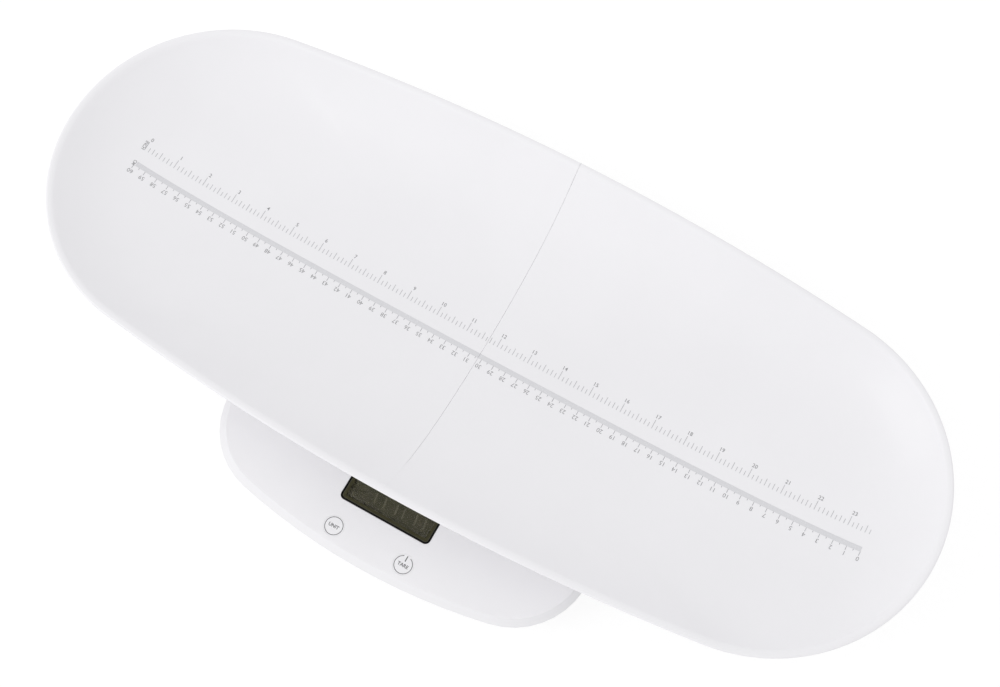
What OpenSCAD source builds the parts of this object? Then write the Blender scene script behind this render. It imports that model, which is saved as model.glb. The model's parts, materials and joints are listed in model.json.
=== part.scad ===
// Digital baby weighing scale: a long dished tray in two halves, screwed to a
// bracket whose four legs plug into a flat base that stands on load-cell feet.
// Millimetres, +Z up, +X along the tray, -Y towards the display and the keys.
// The origin is the middle of the whole outline, on the surface it stands on.

/* [Tray] */
// Overall length of the tray
tray_length = 693.6; // [660:1:720]
// Overall width of the tray
tray_width = 284; // [276:1:292]
// Radius of the tray's round ends
tray_end_r = 128; // [120:1:132]
// Height of the lip's top above the lowest point of the bed
tray_depth = 47.9; // [44:0.5:52]
// Gentle rise of the bed from its middle to an end
bed_end_rise = 10.5; // [9:0.1:12]
// Further rise of the bed that comes on towards an end
bed_end_curl = 17; // [15:0.1:18]
// Gentle rise of the bed from its middle to a side
bed_side_rise = 24.2; // [23:0.1:25]
// Further rise of the bed that comes on towards a side
bed_side_curl = 16.7; // [15:0.1:17.5]
// Slope of the wall where it meets the lip, in degrees
wall_slope = 46; // [43:0.5:48]
// Radius of the lip's soft inner shoulder
shoulder_r = 12; // [10:0.5:13]
// Thickness of the tray's moulding, which ends in a round edge
tray_wall = 3; // [2.6:0.1:3.2]
// Gap between the two halves at the seam
seam_gap = 0.15; // [0.1:0.05:0.3]
// Height of the bed's lowest point above the top of the base
bed_over_base = 11; // [10.5:0.25:13]

/* [Base] */
// Overall width of the base
base_width = 300; // [294:0.5:304]
// Overall depth of the base
base_depth = 290; // [286:1:300]
// Distance from the tray's centreline to the front of the base
base_reach = 185; // [182:1:188]
// Height of the top of the base above the surface it stands on
base_top_z = 30; // [30:0.25:32]
// Radius of the base's front and back edges in plan
base_front_r = 476; // [450:2:500]
// Radius of the base's sides in plan
base_side_r = 1200; // [1000:20:1400]
// Corner radius of the base in plan
base_corner_r = 59; // [56:1:63]
// Thickness of the base's mouldings
cover_wall = 2.4; // [2.2:0.1:2.6]

/* [Display and keys] */
// Width of the display window
window_w = 73; // [68:0.5:74]
// Depth of the display window
window_d = 30; // [28:0.5:31]
// Distance from the front of the base to the display window
window_inset = 37; // [36:0.5:39]
// Distance between the two keys
key_spacing = 56.9; // [54:0.5:60]
// Distance from the front of the base to the middle of the keys
key_inset = 17; // [16:0.25:18]
// Diameter of a key's cap
key_d = 15.2; // [14:0.2:16]
// Travel of a key
key_travel = 0.4; // [0.3:0.05:0.5]

/* [Feet] */
// Distance between the feet along the width
feet_x = 186; // [182:1:188]
// Distance between the feet along the depth
feet_y = 176; // [172:1:178]
// Diameter of a foot
foot_d = 36; // [34:0.5:37]
// Height of the base's underside above the surface it stands on
foot_h = 4.4; // [4.2:0.1:4.8]

/* [Bracket] */
// Distance between the legs along the tray
legs_x = 160; // [150:1:164]
// Distance between the legs across the tray
legs_y = 124; // [118:1:128]
// Diameter of the plug at a leg's lower end
leg_plug_d = 24; // [22:0.5:25]

/* [Batteries] */
// Diameter of a battery cell
cell_d = 10.5; // [10:0.1:10.5]
// Length of a battery cell, with its nub
cell_length = 44.5; // [44:0.1:44.5]
// Distance between neighbouring cells
cell_pitch = 11.4; // [11.2:0.1:11.6]

/* [Hidden] */

white = [0.93, 0.935, 0.94];
soft_white = [0.90, 0.90, 0.915];
steel = [0.70, 0.71, 0.73];
board_green = [0.10, 0.32, 0.20];
rubber_grey = [0.55, 0.56, 0.58];
smoke = [0.13, 0.13, 0.10];
$fn = 48;

// Where things stand
tray_y = base_reach / 2 - tray_width / 4;
base_front_y = tray_y - base_reach;
base_y = base_front_y + base_depth / 2;
bed_z = base_top_z + bed_over_base;

// Tray outline: side arcs of side_r that run into end arcs of tray_end_r
half_len = tray_length / 2 - seam_gap / 2;
half_wid = tray_width / 2;
end_cx = half_len - tray_end_r;
end_drop = half_wid - tray_end_r;
side_cy = (end_cx * end_cx - end_drop * end_drop) / (2 * end_drop);
side_r = side_cy + half_wid;
join_angle = atan2(side_cy, end_cx);
side_steps = 10;
end_steps = 30;
ring_steps = 12;
edge_r = tray_wall / 2;
lip_width = edge_r + shoulder_r * sin(wall_slope);
wall_top = tray_depth - shoulder_r * (1 - cos(wall_slope));
bed_hl = half_len - lip_width;
bed_hw = half_wid - lip_width;

// One entry a point along a half's outline: [arc centre x, arc centre y, arc radius, angle]
tray_arcs = concat(
    [for (i = [0 : side_steps - 1]) [0, side_cy, side_r, -90 + (90 - join_angle) * i / side_steps]],
    [for (i = [0 : end_steps]) [end_cx, 0, tray_end_r, join_angle * (2 * i / end_steps - 1)]],
    [for (i = [1 : side_steps]) [0, -side_cy, side_r, join_angle + (90 - join_angle) * i / side_steps]]
);
tray_n = len(tray_arcs);

function arc_point(a, inset) = [a[0] + (a[2] - inset) * cos(a[3]), a[1] + (a[2] - inset) * sin(a[3])];
function bed_height(x, y) =
    bed_end_rise * pow(x / bed_hl, 2) + bed_end_curl * pow(x / bed_hl, 4)
    + bed_side_rise * pow(y / bed_hw, 2) + bed_side_curl * pow(y / bed_hw, 4);
function bed_slope_x(x) =
    2 * bed_end_rise * x / pow(bed_hl, 2) + 4 * bed_end_curl * pow(x, 3) / pow(bed_hl, 4);
function bed_slope_y(y) =
    2 * bed_side_rise * y / pow(bed_hw, 2) + 4 * bed_side_curl * pow(y, 3) / pow(bed_hw, 4);

// The dish's upper face at fraction s of the way out along entry a: [point, unit normal].
// Past the bed it climbs by a power of s that brings it to the lip at wall_slope.
function dish(a, s) =
    let (
        p = arc_point(a, lip_width),
        out = [cos(a[3]), sin(a[3])],
        t = [-out[1], out[0]],
        rim_slope = [bed_slope_x(p[0]), bed_slope_y(p[1])],
        rise = wall_top - bed_height(p[0], p[1]),
        power = (tan(wall_slope) * (p * out) - p * rim_slope) / rise,
        slope = [bed_slope_x(s * p[0]), bed_slope_y(s * p[1])],
        climb = pow(s, power - 1),
        along_s = [p[0], p[1], slope * p + power * rise * climb],
        along_t = [t[0], t[1], slope * t - (rim_slope * t) * climb],
        n = cross(along_s, along_t)
    )
    [[s * p[0], s * p[1], bed_height(s * p[0], s * p[1]) + rise * s * climb], n / norm(n)];

// Rings get closer towards the rim, where the wall turns up
function ring_fraction(j) = 1 - pow(1 - j / ring_steps, 1.8);

// Section of the lip from the wall outwards, each [inset from the outline, depth below the lip's top]:
// the shoulder, the round edge, and back under the shoulder
shoulder_steps = 5;
edge_steps = 6;
back_steps = 3;
lip_section = concat(
    [for (k = [1 : shoulder_steps])
        let (turn = wall_slope * (1 - k / shoulder_steps))
        [edge_r + shoulder_r * sin(turn), shoulder_r * (1 - cos(turn))]],
    [for (k = [1 : edge_steps])
        let (turn = 180 * k / edge_steps)
        [edge_r - edge_r * sin(turn), edge_r * (1 - cos(turn))]],
    [for (k = [1 : back_steps - 1])
        let (turn = wall_slope * k / back_steps)
        [edge_r + (shoulder_r - tray_wall) * sin(turn), shoulder_r - (shoulder_r - tray_wall) * cos(turn)]]
);
lip_last = len(lip_section) - 1;
function lip_point(a, k) =
    let (p = arc_point(a, lip_section[k][0]))
    [p[0], p[1], tray_depth - lip_section[k][1]];

tray_points = concat(
    [[0, 0, 0]],
    [for (j = [1 : ring_steps]) for (a = tray_arcs) dish(a, ring_fraction(j))[0]],
    [[0, 0, -tray_wall]],
    [for (j = [1 : ring_steps]) for (a = tray_arcs)
        let (d = dish(a, ring_fraction(j))) d[0] - tray_wall * d[1]],
    [for (k = [0 : lip_last]) for (a = tray_arcs) lip_point(a, k)]
);
under = 1 + ring_steps * tray_n;
lip_first = 2 * under;
function top_i(j, i) = j == 0 ? 0 : 1 + (j - 1) * tray_n + i;
function under_i(j, i) = under + top_i(j, i);
function lip_i(k, i) = k < 0 ? top_i(ring_steps, i) : k > lip_last ? under_i(ring_steps, i)
    : lip_first + k * tray_n + i;
last = tray_n - 1;
tray_faces = concat(
    [for (i = [0 : last - 1]) [0, top_i(1, i + 1), top_i(1, i)]],
    [for (i = [0 : last - 1]) [under, under_i(1, i), under_i(1, i + 1)]],
    [for (j = [1 : ring_steps - 1]) for (i = [0 : last - 1]) each [
        [top_i(j, i), top_i(j, i + 1), top_i(j + 1, i + 1)],
        [top_i(j, i), top_i(j + 1, i + 1), top_i(j + 1, i)],
        [under_i(j, i), under_i(j + 1, i + 1), under_i(j, i + 1)],
        [under_i(j, i), under_i(j + 1, i), under_i(j + 1, i + 1)],
    ]],
    [for (k = [-1 : lip_last]) for (i = [0 : last - 1]) each [
        [lip_i(k, i), lip_i(k, i + 1), lip_i(k + 1, i + 1)],
        [lip_i(k, i), lip_i(k + 1, i + 1), lip_i(k + 1, i)],
    ]],
    [for (j = [0 : ring_steps - 1]) each [
        [top_i(j, 0), top_i(j + 1, 0), under_i(j + 1, 0), under_i(j, 0)],
        [top_i(j + 1, last), top_i(j, last), under_i(j, last), under_i(j + 1, last)],
    ]],
    [[for (k = [-1 : lip_last + 1]) lip_i(k, 0)]],
    [[for (k = [lip_last + 1 : -1 : -1]) lip_i(k, last)]]
);

// Seam tongue, a thin strip halfway through the tray's thickness
tongue_reach = 120;
tongue_step = 8;
function seam_mid(y) =
    let (d = dish(tray_arcs[y < 0 ? 0 : last], abs(y) / bed_hw))
    d[0][2] - tray_wall / 2 / d[1][2];

// Bracket under the tray
bracket_top_z = bed_z - 4.8;
bracket_t = 2.6;
bar_w = 18;
bar_rib_x = 20;
bracket_screw_x = [26, 100];
bracket_end_x = 109;
boss_r = 4.5;
boss_sink = 1.4;
leg_collar_r = 15.5;
socket_gap = 0.3;
socket_floor_z = 18;
plug_gap = 0.4;

// Base outline, in its own middle: the corner circle touches the front and side arcs
half_bw = base_width / 2;
half_bd = base_depth / 2;
front_c = [0, base_front_r - half_bd];
side_c = [half_bw - base_side_r, 0];
arc_gap = norm(side_c - front_c);
arc_u = (side_c - front_c) / arc_gap;
arc_l = (pow(base_front_r - base_corner_r, 2) - pow(base_side_r - base_corner_r, 2) + arc_gap * arc_gap)
    / (2 * arc_gap);
arc_h = sqrt(pow(base_front_r - base_corner_r, 2) - arc_l * arc_l);
corner_c = front_c + arc_l * arc_u + arc_h * [-arc_u[1], arc_u[0]];
front_turn = atan2(corner_c[1] - front_c[1], corner_c[0] - front_c[0]);
side_turn = atan2(corner_c[1] - side_c[1], corner_c[0] - side_c[0]);
front_steps = 6;
corner_steps = 8;
flank_steps = 4;
quarter_arcs = concat(
    [for (i = [0 : front_steps - 1])
        [front_c[0], front_c[1], base_front_r, -90 + (front_turn + 90) * i / front_steps]],
    [for (i = [0 : corner_steps - 1])
        [corner_c[0], corner_c[1], base_corner_r, front_turn + (side_turn - front_turn) * i / corner_steps]],
    [for (i = [0 : flank_steps])
        [side_c[0], side_c[1], base_side_r, side_turn * (1 - i / flank_steps)]]
);
quarter_n = len(quarter_arcs) - 1;
function base_outline(inset) =
    let (
        q = [for (a = quarter_arcs) arc_point(a, inset)],
        right = concat(q, [for (i = [quarter_n - 1 : -1 : 0]) [q[i][0], -q[i][1]]])
    )
    concat([for (i = [0 : 2 * quarter_n - 1]) right[i]], [for (i = [0 : 2 * quarter_n - 1]) -right[i]]);

// Heights in the base
floor_top_z = foot_h + cover_wall;
ceiling_z = base_top_z - cover_wall;
board_z = 16;
board_t = 1.6;
board_top_z = board_z + board_t;
rib_z = 21.6;
rib_t = 1.6;
skirt_z = 8;
post_z = 12.2;

// Sections of the two covers: [inset from the outline, height], upper plateau first
top_section = [
    [5.5, base_top_z], [5.1, base_top_z - 0.15], [0.7, base_top_z - 3.3], [0.2, base_top_z - 3.8],
    [0, base_top_z - 4.4], [0.7, base_top_z - 6.2], [2, base_top_z - 9.3], [3.7, base_top_z - 13],
    [5.6, base_top_z - 17], [7.6, skirt_z],
    [10, skirt_z], [7.8, base_top_z - 16.1], [5.9, base_top_z - 12], [4.2, base_top_z - 8.3],
    [3, base_top_z - 5.6], [3.2, base_top_z - 4.7], [5.7, base_top_z - 2.8], [6.3, ceiling_z],
];
bottom_section = [
    [15, floor_top_z], [12.7, floor_top_z + 1.1], [12.3, 11.6], [10.4, 11.6], [10.4, skirt_z],
    [8.4, skirt_z], [9.1, 6.9], [10.4, 5.6], [12.3, foot_h + 0.3], [15, foot_h],
];

// Display and keys
window_y = base_front_y + window_inset + window_d / 2;
window_corner = 4;
window_t = 1.6;
window_gap = 0.15;
window_sink = 0.1;
lcd_w = window_w - 2;
lcd_d = window_d - 1;
lcd_t = 2.8;
backlight_t = 2.9;
lcd_top_z = ceiling_z - 0.2;
key_y = base_front_y + key_inset;
key_gap = 0.08;
key_flange_r = key_d / 2 + 1.2;
key_flange_t = 1.1;
stem_end_z = 22.6;
switch_size = 6;
switch_h = 3.5;
plunger_r = 1.7;

// Circuit board and the places of its screws
board_w = 104;
board_front_y = base_front_y + 12;
board_back_y = window_y + window_d / 2 + 4;
board_screw_x = 46;
board_screw_y = [board_front_y + 5, board_back_y - 5];
connector = [8, 6, 5];
connector_x = [-30, -16, 0, 16, 30];

// Screws that hold the two covers together
cover_screw_at = [
    [118, base_y - 41], [118, base_y + 39], [48, base_y + 119], [62, base_y - 117],
];

// Feet and load cells
foot_at = [feet_x / 2, feet_y / 2];
foot_r = foot_d / 2;
well_gap = 1.3;
pad_r = 15.2;
cell_plate = 34;
cell_plate_z = 8.6;
cell_plate_t = 2;
holder_w = 46;
holder_z = skirt_z;
holder_h = 6.2;
holder_screw = 19.5;

// Battery bay
bay_y = base_y + 49;
bay_in = [50, 36];
bay_top_z = 19;
bay_wall = 1.8;
ledge_z = 6.6;
door_size = [58, 43];
door_gap = 0.3;
door_t = 1.8;
hook_x = 18;
hook_w = 10;
cell_z = ledge_z + 0.2 + cell_d / 2;
contact_t = 0.4;
nub_d = 3.8;
nub_l = 1.1;
spring_wire_r = 0.35;
spring_turns = 4;

// ---------------------------------------------------------------- helpers

// A closed skin through rings of equal count, drawn anticlockwise seen along the way it runs
module skin(rings) {
    n = len(rings[0]);
    k = len(rings);
    polyhedron(
        points = [for (r = rings) each r],
        faces = concat(
            [[for (i = [n - 1 : -1 : 0]) i]],
            [for (j = [0 : k - 2]) for (i = [0 : n - 1]) each [
                [j * n + i, j * n + (i + 1) % n, (j + 1) * n + (i + 1) % n],
                [j * n + i, (j + 1) * n + (i + 1) % n, (j + 1) * n + i],
            ]],
            [[for (i = [0 : n - 1]) (k - 1) * n + i]]
        ),
        convexity = 8
    );
}

function unit(v) = v / norm(v);

// Points between the given ones, on a smooth curve through them
function smooth_route(p, steps) =
    let (n = len(p))
    concat(
        [for (i = [0 : n - 2]) for (s = [0 : steps - 1])
            let (
                t = s / steps,
                a = p[max(i - 1, 0)],
                b = p[i],
                c = p[i + 1],
                d = p[min(i + 2, n - 1)]
            )
            0.5 * (2 * b + (c - a) * t + (2 * a - 5 * b + 4 * c - d) * t * t
                + (3 * b - a - 3 * c + d) * t * t * t)],
        [p[n - 1]]
    );

// A round wire of radius r along a path that is nowhere parallel to ref
module wire(path, r, sides, ref) {
    n = len(path);
    skin([for (i = [0 : n - 1])
        let (
            way = unit(path[min(i + 1, n - 1)] - path[max(i - 1, 0)]),
            side = unit(cross(way, ref)),
            other = cross(side, way)
        )
        [for (k = [0 : sides - 1])
            path[i] + r * (cos(360 * k / sides) * side + sin(360 * k / sides) * other)]
    ]);
}

// A rectangle with round corners, centred, extruded up from z = 0
module rounded_slab(size, r, h) {
    linear_extrude(h) union() {
        square([size[0] - 2 * r, size[1]], center = true);
        square([size[0], size[1] - 2 * r], center = true);
        for (x = [-1, 1], y = [-1, 1])
            translate([x * (size[0] / 2 - r), y * (size[1] / 2 - r)]) circle(r);
    }
}

// A pan-head screw driven upwards, its head's bearing face at z = 0
module screw(r, length, head_r, head_h) {
    difference() {
        union() {
            translate([0, 0, -head_h]) cylinder(r = head_r, h = head_h);
            translate([0, 0, -0.01]) cylinder(r = r, h = length - r);
            translate([0, 0, length - r - 0.02]) cylinder(r1 = r, r2 = r * 0.3, h = r);
        }
        for (turn = [0, 90]) rotate([0, 0, turn])
            translate([0, 0, -head_h]) cube([head_r * 1.2, head_r * 0.26, head_h], center = true);
    }
}

module at_base() { translate([0, base_y, 0]) children(); }

// A foot's place, from its side: x is -1 or 1, y is -1 at the front and 1 at the back
module at_foot(x, y) { translate([x * foot_at[0], base_y + y * foot_at[1], 0]) children(); }

module at_keys() {
    for (x = [-1, 1]) translate([x * key_spacing / 2, key_y, 0]) children();
}

module at_legs() {
    for (x = [-1, 1], y = [-1, 1]) translate([x * legs_x / 2, tray_y + y * legs_y / 2, 0]) children();
}

// ---------------------------------------------------------------- tray

// Strip of thickness t in the seam, from x = from to x = to, at the tray's own place
module seam_strip(from, to, t) {
    ys = [for (y = [-tongue_reach : tongue_step : tongue_reach]) y];
    translate([from, 0, 0]) rotate([90, 0, 90]) linear_extrude(to - from) polygon(concat(
        [for (y = ys) [y, seam_mid(y) - t / 2]],
        [for (i = [len(ys) - 1 : -1 : 0]) [ys[i], seam_mid(ys[i]) + t / 2]]
    ));
}

// The right half, about the bed's lowest point, with bosses for the bracket's screws
module half_tray(with_tongue) {
    difference() {
        union() {
            translate([seam_gap / 2, 0, 0])
                polyhedron(points = tray_points, faces = tray_faces, convexity = 10);
            for (x = bracket_screw_x, y = [-1, 1]) translate([x, y * legs_y / 2, bracket_top_z - bed_z])
                cylinder(
                    r = boss_r,
                    h = bed_height(x, legs_y / 2) - tray_wall + boss_sink - (bracket_top_z - bed_z)
                );
            if (with_tongue) seam_strip(-1.4, 2, 1);
        }
        for (x = bracket_screw_x, y = [-1, 1]) translate([x, y * legs_y / 2, bracket_top_z - bed_z - 1])
            cylinder(r = 1.5, h = 8);
        if (!with_tongue) seam_strip(0, 1.9, 1.4);
    }
}

module tray_right() {
    color(white) translate([0, tray_y, bed_z]) half_tray(true);
}

module tray_left() {
    color(white) translate([0, tray_y, bed_z]) rotate([0, 0, 180]) half_tray(false);
}

// The bracket ties the halves together and stands on the base with four legs
module tray_bracket() {
    color(soft_white) difference() {
        union() {
            for (y = [-1, 1]) translate([0, tray_y + y * legs_y / 2, bracket_top_z - bracket_t])
                rounded_slab([2 * bracket_end_x, bar_w], 6, bracket_t);
            for (x = [-1, 1]) translate([x * legs_x / 2 - bar_w / 2, tray_y - legs_y / 2, bracket_top_z - bracket_t])
                cube([bar_w, legs_y, bracket_t]);
            for (y = [-1, 1]) translate([-bar_rib_x, tray_y + y * legs_y / 2 - 1, bracket_top_z - bracket_t - 1.6])
                cube([2 * bar_rib_x, 2, 2]);
            at_legs() {
                translate([0, 0, base_top_z + plug_gap / 2])
                    cylinder(r = leg_collar_r, h = bracket_top_z - base_top_z - plug_gap / 2);
                translate([0, 0, socket_floor_z + plug_gap])
                    cylinder(r = leg_plug_d / 2, h = bracket_top_z - socket_floor_z - plug_gap);
            }
        }
        at_legs() translate([0, 0, socket_floor_z])
            cylinder(r = leg_plug_d / 2 - 2, h = bracket_top_z - bracket_t - socket_floor_z);
        for (x = bracket_screw_x, sx = [-1, 1], y = [-1, 1])
            translate([sx * x, tray_y + y * legs_y / 2, bracket_top_z - bracket_t - 1])
                cylinder(r = 1.7, h = bracket_t + 2);
    }
}

module tray_bracket_screws() {
    color(steel) for (x = bracket_screw_x, sx = [-1, 1], y = [-1, 1])
        translate([sx * x, tray_y + y * legs_y / 2, bracket_top_z - bracket_t])
            screw(1.45, 8.5, 2.9, 1.7);
}

// ---------------------------------------------------------------- base covers

module cover_screw_places() {
    for (p = cover_screw_at, x = [-1, 1]) translate([x * p[0], p[1], 0]) children();
}

module base_top_cover() {
    color(soft_white) difference() {
        union() {
            at_base() skin([for (s = top_section) [for (p = base_outline(s[0])) [p[0], p[1], s[1]]]]);
            for (y = [base_y - 51, tray_y - legs_y / 2, tray_y, tray_y + legs_y / 2])
                translate([-legs_x / 2 - 22, y - rib_t / 2, rib_z])
                    cube([legs_x + 44, rib_t, ceiling_z - rib_z + 1]);
            for (x = [-1, 0, 1]) translate([x * legs_x / 2 - rib_t / 2, base_y - 51, rib_z])
                cube([rib_t, 51 + half_bd - 22, ceiling_z - rib_z + 1]);
            at_legs() translate([0, 0, socket_floor_z - 1.6])
                cylinder(r = leg_plug_d / 2 + socket_gap + 1.8, h = ceiling_z - socket_floor_z + 2.6);
            cover_screw_places() translate([0, 0, post_z])
                cylinder(r = 4.2, h = ceiling_z - post_z + 1);
            for (x = [-1, 1], y = board_screw_y) translate([x * board_screw_x, y, board_top_z])
                cylinder(r = 3, h = ceiling_z - board_top_z + 1);
            at_keys() translate([0, 0, ceiling_z - 2.6]) difference() {
                cylinder(r = key_flange_r + 1.6, h = 3.6);
                translate([0, 0, -1]) cylinder(r = key_flange_r + 0.3, h = 3.6);
            }
        }
        at_legs() translate([0, 0, socket_floor_z])
            cylinder(r = leg_plug_d / 2 + socket_gap, h = base_top_z - socket_floor_z + 1);
        cover_screw_places() translate([0, 0, post_z - 1]) cylinder(r = 1.5, h = 10);
        for (x = [-1, 1], y = board_screw_y) translate([x * board_screw_x, y, board_top_z - 1])
            cylinder(r = 1.1, h = 7);
        at_keys() translate([0, 0, ceiling_z - 1.5]) cylinder(r = key_d / 2 + key_gap, h = cover_wall + 2.5);
        translate([0, window_y, base_top_z - window_t - window_sink - window_gap])
            rounded_slab([window_w + 2 * window_gap, window_d + 2 * window_gap], window_corner, 4);
        translate([0, window_y, ceiling_z - 1]) rounded_slab([window_w - 6, window_d - 5], 2, 4);
    }
}

module base_bottom_cover() {
    bay_out = [bay_in[0] + 2 * bay_wall, bay_in[1] + 2 * bay_wall];
    door_hole = [door_size[0] + 2 * door_gap, door_size[1] + 2 * door_gap];
    color(soft_white) difference() {
        union() {
            at_base() skin([for (s = bottom_section) [for (p = base_outline(s[0])) [p[0], p[1], s[1]]]]);
            cover_screw_places() translate([0, 0, foot_h + 1]) cylinder(r = 5.2, h = post_z - foot_h - 1.1);
            for (x = [-1, 1], y = [-1, 1]) at_foot(x, y) {
                translate([0, 0, foot_h + 1]) cylinder(r = foot_r + well_gap + 2.4, h = holder_z - foot_h - 1);
                for (k = [-1, 1]) translate([k * x * holder_screw, -k * y * holder_screw, foot_h + 1])
                    cylinder(r = 3, h = holder_z - foot_h - 1);
            }
            translate([0, bay_y, foot_h + 1])
                rounded_slab([door_hole[0] + 3.2, door_hole[1] + 3.2], 3, ledge_z + 1.4 - foot_h);
            translate([0, bay_y, foot_h + 1]) rounded_slab(bay_out, 2, bay_top_z + bay_wall - foot_h - 1);
        }
        cover_screw_places() {
            translate([0, 0, foot_h - 1]) cylinder(r = 3.6, h = 5.2);
            translate([0, 0, foot_h - 1]) cylinder(r = 1.7, h = 12);
        }
        for (x = [-1, 1], y = [-1, 1]) at_foot(x, y) {
            translate([0, 0, foot_h - 1]) cylinder(r = foot_r + well_gap, h = 8);
            for (k = [-1, 1]) translate([k * x * holder_screw, -k * y * holder_screw, foot_h + 1])
                cylinder(r = 1.3, h = 6);
        }
        translate([0, bay_y, foot_h - 1]) rounded_slab(door_hole, 3, ledge_z - foot_h + 1);
        translate([0, bay_y, foot_h]) rounded_slab(bay_in, 1, bay_top_z - foot_h);
        for (x = [-1, 1]) translate([x * hook_x - hook_w / 2 - 1, bay_y + bay_in[1] / 2 - 2, ledge_z - 0.3])
            cube([hook_w + 2, 11, 4]);
        translate([0, bay_y - door_size[1] / 2 - 3, foot_h - 1]) cylinder(r = 7, h = 1.9);
    }
}

module cover_screws() {
    color(steel) cover_screw_places() translate([0, 0, foot_h + 4.2]) screw(1.45, 11, 3.2, 2);
}

// ---------------------------------------------------------------- display and board

module display_window() {
    color(smoke) translate([0, window_y, base_top_z - window_t - window_sink])
        rounded_slab([window_w, window_d], window_corner - window_gap, window_t);
}

module lcd_glass() {
    color([0.30, 0.30, 0.22]) translate([0, window_y, lcd_top_z - lcd_t / 2]) union() {
        translate([-lcd_w / 2, -lcd_d / 2, -lcd_t / 2]) cube([lcd_w, lcd_d, lcd_t / 2]);
        translate([-lcd_w / 2, -lcd_d / 2 + 3, -0.01]) cube([lcd_w, lcd_d - 3, lcd_t / 2]);
    }
}

module lcd_backlight() {
    color([0.85, 0.86, 0.80]) difference() {
        translate([-lcd_w / 2, window_y - lcd_d / 2, lcd_top_z - lcd_t - 0.1 - backlight_t])
            cube([lcd_w, lcd_d, backlight_t]);
        for (x = [-1, 1]) translate([x * (lcd_w / 2 - 1), window_y - 4, lcd_top_z - lcd_t - 4])
            cube([3, 8, 5], center = true);
    }
}

module lcd_frame() {
    gap = 0.2;
    color(soft_white) difference() {
        translate([0, window_y, board_top_z])
            rounded_slab([lcd_w + 2 * gap + 3.2, lcd_d + 2 * gap + 3.2], 1.5, lcd_top_z - board_top_z);
        translate([-lcd_w / 2 - gap, window_y - lcd_d / 2 - gap, lcd_top_z - lcd_t - backlight_t - 0.2])
            cube([lcd_w + 2 * gap, lcd_d + 2 * gap, 12]);
        translate([-lcd_w / 2 + 2, window_y - lcd_d / 2 + 2, board_top_z - 1])
            cube([lcd_w - 4, lcd_d - 4, 12]);
    }
}

module main_board() {
    color(board_green) difference() {
        translate([0, (board_front_y + board_back_y) / 2, board_z])
            rounded_slab([board_w, board_back_y - board_front_y], 2, board_t);
        for (x = [-1, 1], y = board_screw_y) translate([x * board_screw_x, y, board_z - 1])
            cylinder(r = 1.4, h = board_t + 2);
    }
}

// Sockets for the wires, the controller and two small parts, all on the board's underside
module board_components() {
    color([0.82, 0.82, 0.78]) {
        for (x = connector_x)
            translate([x - connector[0] / 2, board_back_y - connector[1], board_z - connector[2]]) difference() {
                cube(connector);
                translate([1, connector[1] - 2, 1]) cube([connector[0] - 2, 3, connector[2] - 2]);
            }
        translate([0, window_y - 2, board_z - 2.2]) cylinder(r = 7, h = 2.2);
        translate([20, window_y - 8, board_z - 1.6]) cube([10, 7, 1.6]);
        translate([-32, window_y - 8, board_z - 3]) cube([4, 9, 3]);
    }
}

module board_screws() {
    color(steel) for (x = [-1, 1], y = board_screw_y)
        translate([x * board_screw_x, y, board_z]) screw(1.05, 6.5, 2.1, 1.3);
}

module key_switches() {
    color([0.16, 0.16, 0.17]) at_keys() difference() {
        translate([-switch_size / 2, -switch_size / 2, board_top_z])
            cube([switch_size, switch_size, switch_h]);
        translate([0, 0, board_top_z + switch_h - 2]) cylinder(r = plunger_r + 0.15, h = 3);
    }
}

// A key: cap, retaining flange and stem, at the middle of its hole
module key() {
    translate([0, 0, ceiling_z - 0.15]) cylinder(r = key_d / 2, h = cover_wall + 0.15);
    translate([0, 0, ceiling_z - 0.15 - key_flange_t]) cylinder(r = key_flange_r, h = key_flange_t + 0.01);
    translate([0, 0, stem_end_z]) cylinder(r = 2, h = ceiling_z - stem_end_z);
}

module plunger() {
    translate([0, 0, board_top_z + switch_h - 1.2])
        cylinder(r = plunger_r, h = stem_end_z - board_top_z - switch_h + 1.2);
}

module unit_key() { color(soft_white) translate([-key_spacing / 2, key_y, 0]) key(); }
module tare_key() { color(soft_white) translate([key_spacing / 2, key_y, 0]) key(); }
module unit_switch_plunger() { color(smoke) translate([-key_spacing / 2, key_y, 0]) plunger(); }
module tare_switch_plunger() { color(smoke) translate([key_spacing / 2, key_y, 0]) plunger(); }

// ---------------------------------------------------------------- feet and load cells

// A stepped cap with a recess for its pad below and a stem that bears on the load cell
module foot(x, y) {
    color(soft_white) at_foot(x, y) rotate_extrude() polygon([
        [0, 2.2], [pad_r + 0.2, 2.2], [pad_r + 0.2, 0.9], [foot_r - 0.7, 0.9], [foot_r, 1.6],
        [foot_r, 6.2], [foot_r - 0.6, 6.8], [6, 6.8], [5, 7.4], [5, cell_plate_z], [0, cell_plate_z],
    ]);
}

// A soft disc with two grooves in the face it stands on
module foot_pad(x, y) {
    color(rubber_grey) at_foot(x, y) rotate_extrude() polygon([
        [0, 0], [5, 0], [5, 0.6], [6.2, 0.6], [6.2, 0], [9.8, 0], [9.8, 0.6], [11, 0.6], [11, 0],
        [pad_r - 0.5, 0], [pad_r, 0.5], [pad_r, 2.2], [0, 2.2],
    ]);
}

// A steel plate whose tongue is cut free on three sides, with the gauge's seal on top
module load_cell(x, y) {
    color(steel) at_foot(x, y) union() {
        difference() {
            translate([0, 0, cell_plate_z]) rounded_slab([cell_plate, cell_plate], 3, cell_plate_t);
            for (k = [-1, 1]) translate([k * 9 - 1, -11, cell_plate_z - 1]) cube([2, 22, cell_plate_t + 2]);
            translate([-9, y * 10 - 1, cell_plate_z - 1]) cube([18, 2, cell_plate_t + 2]);
        }
        translate([-3.5, -y * 6 - 4, cell_plate_z + cell_plate_t - 0.01]) cube([7, 8, 0.9]);
    }
}

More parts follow.
